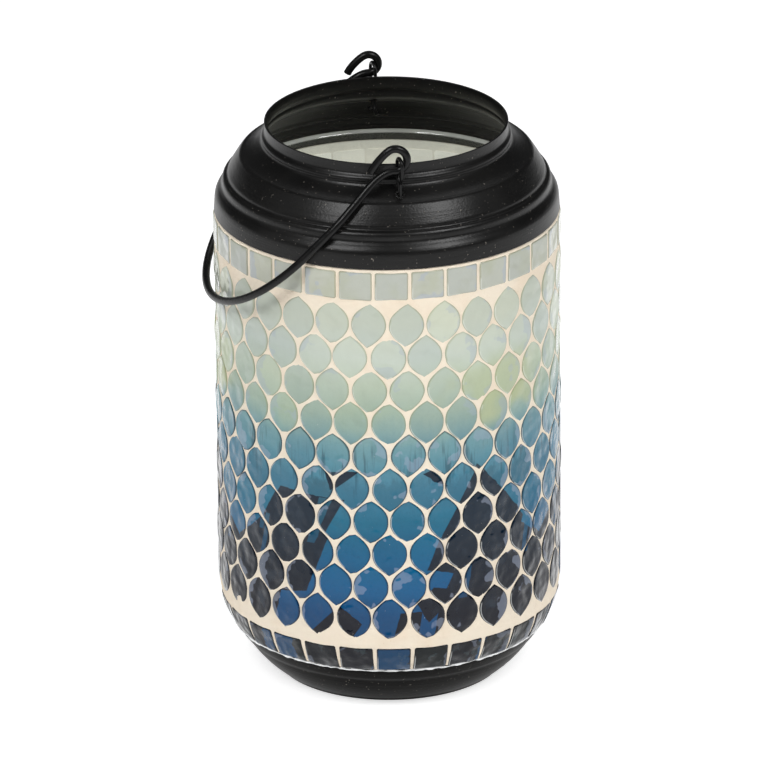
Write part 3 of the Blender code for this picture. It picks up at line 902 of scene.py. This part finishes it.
def make_glue_bead(material):
    """The clear bead of glue squeezed out where the lower squares meet the dish. It thins out in places."""
    bm = bmesh.new()
    around, sides = 300, 8
    full_size, least_share = 0.00034, 0.25
    rings = []
    for step in range(around):
        angle = math.tau * step / around
        spot = Vector((math.cos(angle) * 16, math.sin(angle) * 16, 4.0))
        size = full_size * max(least_share, 0.75 + 1.1 * noise.noise(spot))
        radius, height = arc_point(lip_depth, lip_angle + 0.006 + 0.012 * noise.noise(spot * 1.7))
        ring = []
        for corner in range(sides):
            turn = math.tau * corner / sides
            r, z = radius + size * math.cos(turn), height + size * math.sin(turn) * 1.3
            ring.append(bm.verts.new((r * math.cos(angle), r * math.sin(angle), z)))
        rings.append(ring)
    stitch(bm, rings + rings[:1])
    piece("glue_bead", bm, material)


# ---- Wire


def hermite(start, start_pull, end, end_pull, steps):
    """A bend from start to end that leaves and arrives along the pulls. The start itself is left out."""
    points = []
    for step in range(1, steps + 1):
        t = step / steps
        points.append(
            start * (1 - 3 * t**2 + 2 * t**3)
            + start_pull * (t - 2 * t**2 + t**3)
            + end * (3 * t**2 - 2 * t**3)
            + end_pull * (t**3 - t**2)
        )
    return points


def tube(points, radius, sides):
    """A round wire along points, with flat cut ends that are slightly rounded off."""
    bm = bmesh.new()
    blunt = 0.00018
    rings = []
    last = len(points) - 1
    for index, point in enumerate(points):
        along = (points[min(last, index + 1)] - points[max(0, index - 1)]).normalized()
        if index == 0:
            side = along.orthogonal().normalized()
        else:
            side = (side - along * side.dot(along)).normalized()
        across = along.cross(side)
        ring = []
        for corner in range(sides):
            turn = math.tau * corner / sides
            ring.append(bm.verts.new(point + (side * math.cos(turn) + across * math.sin(turn)) * radius))
        rings.append((ring, point, along))
    stitch(bm, [ring for ring, _, _ in rings])
    for (ring, point, along), way in ((rings[0], -1), (rings[-1], 1)):
        end = point + along * way * blunt * 0.6
        small = [bm.verts.new(end + (v.co - point) * (1 - blunt / radius)) for v in ring]
        stitch(bm, (ring, small))
        bm.faces.new(small)
    return bm


def ring_point(angle, size):
    """A point on a hook's ring, by its angle from straight up."""
    return Vector((math.sin(angle), 0.0, math.cos(angle))) * hook_radius * size


def ring_direction(angle):
    """The way that the ring runs there."""
    return Vector((math.cos(angle), 0.0, -math.sin(angle)))


def leg_half_width(along):
    """Half the bail's width this far from the hinge: the legs spread to the grip in a smooth S."""
    share = min(1.0, max(0.0, (along - hook_radius) / bail_spread))
    return hole_reach + (grip_half_width - hole_reach) * share * share * (3 - 2 * share)


def bail_side(size):
    """One side of the bail, upright on its hinge axis: a hook of this relative size, a leg, half the grip."""
    ring_steps, bend_steps, leg_steps, grip_steps = 34, 12, 18, 32
    turn = hook_leg_angle - hook_tip_angle
    ring = [ring_point(hook_tip_angle + turn * step / ring_steps, size) for step in range(ring_steps + 1)]
    tip = Vector((hook_tip_gap, 0.0, hook_tip_length * size))
    tip_pull = Vector((hook_tip_gap, 0.0, -hook_tip_length * size))
    ring_pull = ring_direction(hook_tip_angle) * hook_tip_length * 0.75 * size
    hook = [tip] + hermite(tip, tip_pull, ring[0], ring_pull, bend_steps) + ring[1:]
    straight = Vector((0.0, 0.0, leg_straight_start))
    leg_pull = ring_direction(hook_leg_angle) * leg_straight_start * 0.75
    leg = hermite(ring[-1], leg_pull, straight, straight * 0.75, bend_steps)
    middle = bail_length / 2
    run = middle - leg_straight_start
    for step in range(1, leg_steps + 1):
        leg.append(Vector((0.0, 0.0, leg_straight_start + run * step / leg_steps)))
    side = [Vector((p.x, -hole_reach, p.z)) for p in hook]
    side += [Vector((p.x, -leg_half_width(p.z), p.z)) for p in leg]
    for step in range(1, grip_steps + 1):
        angle = math.pi / 2 * step / grip_steps
        rise = (bail_length - middle) * math.sin(angle)
        side.append(Vector((0.0, -grip_half_width * math.cos(angle), middle + rise)))
    return side


def bail_path():
    """The whole bail, from the front hook's tip to the rear hook's."""
    rear = [Vector((p.x, -p.y, p.z)) for p in bail_side(rear_hook_size)]
    return bail_side(1.0) + rear[-2::-1]


def loop_side():
    """Half of a hairpin loop as (across, height), from the foot inside the collar up to beside the crown."""
    crown = hinge.z + 0.0003
    radius = bail_wire / 2 + eyelet_wire / 2 + loop_slack
    centre = crown - radius
    hole = collar_height_at(hole_reach)
    foot_spread, foot_drop, bend_drop = 0.0026, 0.0046, 0.0023  # below the hole
    neck_drop, side_drop = 0.0062, 0.0028  # below the crown's centre
    foot = Vector((loop_half_leg + foot_spread, hole - foot_drop))
    bend = Vector((loop_half_leg, hole - bend_drop))
    neck = Vector((loop_half_leg, centre - neck_drop))
    side = Vector((radius, centre - side_drop))
    rise = Vector((0.0, neck_drop - side_drop))
    path = [foot] + hermite(foot, (bend - foot) * 0.5, bend, Vector((0.0, foot_drop)), 6)
    path += [neck] + hermite(neck, rise, side, rise, 10)
    crown_steps = 12
    for step in range(crown_steps):
        angle = math.pi / 2 * step / crown_steps
        path.append(Vector((radius * math.cos(angle), centre + radius * math.sin(angle))))
    return path, crown


def make_loop(end, side, wire_finish):
    """A wire loop through its hole in the collar, turned a little about its own axis."""
    half, crown = loop_side()
    profile = [tuple(p) for p in half] + [(0.0, crown)] + [(-p.x, p.y) for p in reversed(half)]
    turn = Matrix.Rotation(eyelet_twist, 3, "Z")
    hole = Vector((0, side * hole_reach, 0))
    points = [turn @ Vector((0.0, side * reach, height)) + hole for reach, height in profile]
    wire = tube(points, eyelet_wire / 2, 14)
    piece(f"{end}_loop", wire, wire_finish, [f"{end}_eyelet"])


def make_paint_drops(end, side, paint):
    """Drops of paint caught round a loop's legs: nine in a ring, and three in its middle."""
    bm = bmesh.new()
    ring_drops, all_drops = 9, 12
    for drop in range(all_drops):
        angle = math.tau * drop / ring_drops
        reach = 0.00112 if drop < ring_drops else 0.0002 * (drop - ring_drops)
        x, y = reach * math.cos(angle), reach * math.sin(angle)
        size = chance.uniform(0.0005, 0.00075)
        height = collar_height_at(math.hypot(x, side * hole_reach + y))
        where = Matrix.Translation((x, side * hole_reach + y, height)) @ Matrix.Diagonal((1, 1, 0.6, 1))
        bmesh.ops.create_icosphere(bm, subdivisions=3, radius=size, matrix=where)
    piece(f"{end}_paint_drops", bm, paint)


def make_bail(material):
    """The bail, hanging at rest down one side of the jar."""
    rest = Matrix.Translation(hinge) @ Matrix.Rotation(-(math.pi / 2 + rest_slope), 4, "Y")
    bm = tube(bail_path(), bail_wire / 2, 24)
    bmesh.ops.transform(bm, matrix=rest, verts=bm.verts)
    piece("bail", bm, material, ["bail_handle"], body="bail")


def fluted_ring(bm, radius, height, segments, flute=0.0, pleats=0, phase=0.0):
    """A ring of points whose radius dips by up to the flute, once for each pleat."""
    ring = []
    for step in range(segments):
        angle = math.tau * step / segments
        reach = radius - flute * (0.5 + 0.5 * math.cos(pleats * angle + phase))
        ring.append(bm.verts.new((reach * math.cos(angle), reach * math.sin(angle), height)))
    return ring


def closed_stack(bm, rings):
    """Faces up through the rings, with the first and the last filled in."""
    stitch(bm, rings)
    bm.faces.new(rings[0][::-1])
    bm.faces.new(rings[-1])


def make_candle_cup(material):
    """The candle's foil cup, crimped on the outside."""
    radius = (cup_high.x - cup_low.x) / 2
    bottom, top = cup_low.z, cup_high.z
    wall, flute, fade = 0.0004, 0.0003, 0.003
    pleats, segments, steps = 36, 288, 10
    heights = [bottom + (top - bottom) * step / steps for step in range(1, steps + 1)]
    bm = bmesh.new()
    rings = [fluted_ring(bm, radius - 0.0008, bottom, segments)]
    for z in heights:
        depth = flute * min(1.0, (top - z) / fade)
        rings.append(fluted_ring(bm, radius - 0.0001, z, segments, depth, pleats))
    for z in reversed(heights):
        rings.append(fluted_ring(bm, radius - wall, z, segments))
    rings.append(fluted_ring(bm, radius - wall, bottom + wall, segments))
    closed_stack(bm, rings)
    piece("candle_cup_foil", bm, material, ["candle_cup"])


def make_wax(material):
    """The wax, with a well round the wick that dips slightly towards it."""
    radius, top, bottom = (wax_high.x - wax_low.x) / 2, wax_high.z, wax_low.z
    well = 0.0010
    outline = [(well, top - 0.0003), (0.0016, top - 0.00015), (0.004, top - 0.00005), (radius - 0.001, top)]
    outline += [(radius, top - 0.0003), (radius, bottom), (well, bottom)]
    piece("wax", turned(outline, 96), material, ["candle_wax"])


def make_wick(material):
    """The wick: three strands that turn as they rise."""
    radius, groove, strands, sides, steps = 0.00066, 0.00012, 3, 18, 40
    bm = bmesh.new()
    rings = []
    for step in range(steps + 1):
        z = wick_low.z + (wick_high.z - wick_low.z) * step / steps
        rings.append(fluted_ring(bm, radius, z, sides, groove, strands, step * 0.9))
    closed_stack(bm, rings)
    piece("braided_wick", bm, material, ["candle_wick"])


# ---- Studio


def way_from(azimuth, elevation):
    """The direction towards a place seen at these angles; azimuth 0 is the jar's front."""
    a, e = math.radians(azimuth), math.radians(elevation)
    return Vector((math.sin(a) * math.cos(e), -math.cos(a) * math.cos(e), math.sin(e)))


def make_floor():
    """A plain white floor."""
    bpy.ops.mesh.primitive_plane_add(size=14.0, location=(0.0, 0.0, cad_low.z - 0.0002))
    floor = bpy.context.object
    floor.name = "studio_floor"
    shader = Shader("studio_floor", Roughness=0.9, Specular_IOR_Level=0.0, Emission_Strength=0.68)
    shader.feed(
        Base_Color=shader.mix(shader.noise(3), (0.80, 0.80, 0.80, 1), (0.82, 0.82, 0.82, 1)),
        Emission_Color=(1, 1, 1, 1),
    )
    floor.data.materials.append(shader.material)


def make_lights():
    """A faint sky and soft boxes, placed round the jar from where the camera stands."""
    world = bpy.data.worlds.new("studio")
    bpy.context.scene.world = world
    world.use_nodes = True
    background = world.node_tree.nodes["Background"]
    background.inputs["Color"].default_value = (0.95, 0.97, 1.0, 1)
    background.inputs["Strength"].default_value = 0.07

    target = Vector((0.0, 0.0, 0.1))
    for name, azimuth, elevation, distance, size, radiance in (
        ("front_left", -38, 47, 1.4, (0.46, 0.5), 13.6),
        ("front_right", 46, 46, 1.4, (0.48, 0.5), 13.6),
        ("left", -84, 24, 1.5, (0.4, 0.9), 0.6),
        ("right", 86, 24, 1.5, (0.4, 0.9), 0.35),
        ("rear_top", 176, 60, 1.5, (0.9, 0.5), 1.6),
    ):
        way = way_from(azimuth + camera_azimuth, elevation)
        light = bpy.data.lights.new(name, "AREA")
        light.shape = "RECTANGLE"
        light.size, light.size_y = size
        light.energy = radiance * size[0] * size[1] * math.pi
        obj = bpy.data.objects.new(name, light)
        obj.location = target + way * distance
        obj.rotation_euler = (-way).to_track_quat("-Z", "Y").to_euler()
        bpy.context.scene.collection.objects.link(obj)


def make_camera():
    """A long lens from above the front, a little to the left and turned by a fraction of a degree."""
    data = bpy.data.cameras.new("camera")
    data.lens = 523.5
    data.sensor_width = 36.0
    data.clip_end = 30.0
    camera = bpy.data.objects.new("camera", data)
    bpy.context.scene.collection.objects.link(camera)
    azimuth, roll = math.radians(camera_azimuth), math.radians(camera_roll)
    back = way_from(camera_azimuth, camera_elevation)
    right = Vector((math.cos(azimuth), math.sin(azimuth), 0.0))
    up = back.cross(right)
    across = right * math.cos(roll) + up * math.sin(roll)
    upright = up * math.cos(roll) - right * math.sin(roll)
    turn = Matrix((across, upright, back)).transposed()
    camera.matrix_world = Matrix.Translation(camera_aim + back * camera_distance) @ turn.to_4x4()
    bpy.context.scene.camera = camera
    bpy.context.scene.view_settings.view_transform = "Standard"


def main():
    row = 0
    for finish, rows, dark_share, olive_share in PETAL_GLASS:
        glass = tile_glass(finish, dark_share, olive_share)
        for _ in range(rows):
            lay_petals(row, glass)
            row += 1
    lay_squares(
        "upper_squares", "top_border_tiles", upper_squares, upper_front,
        upper_high.z - arc_height, upper_low.z - arc_height,
        border_glass("border_tile_glass"),
    )
    lower_edge = -lip_angle * arc_radius + fit_gap
    lay_squares(
        "lower_squares", "bottom_border_tiles", lower_squares, lower_front,
        lower_edge + lower_square_height, lower_edge,
        navy_glass("navy_tile_glass"),
    )
    make_grout(grout_paint("grout"))
    make_jar_glass(clear_glass("clear_glass"))
    make_collar(black_enamel("black_paint"))
    make_dish(black_enamel("dish_paint", shine=0.02))
    make_glue_bead(plain_paint("glue", (0.75, 0.76, 0.76), (0.92, 0.93, 0.94), 0.18, 500, 0.0002))
    wire = wire_enamel("black_wire")
    drops = black_enamel("paint_drops", ridged=False)
    for end, side in (("front", -1), ("rear", 1)):
        make_loop(end, side, wire)
        make_paint_drops(end, side, drops)
    make_bail(wire)
    make_candle_cup(plain_paint(
        "tin", (0.66, 0.66, 0.67), (0.78, 0.78, 0.79), 0.3, 600, 0.00008, Metallic=1.0,
    ))
    make_wax(plain_paint(
        "wax", (0.82, 0.79, 0.70), (0.88, 0.85, 0.78), 0.45, 200, 0.0001,
        Subsurface_Weight=0.3, Subsurface_Radius=(0.004, 0.003, 0.002), Subsurface_Scale=1.0,
    ))
    make_wick(plain_paint("wick", (0.70, 0.66, 0.58), (0.82, 0.79, 0.72), 0.9, 2500, 0.0002))
    make_floor()
    make_lights()
    make_camera()


main()
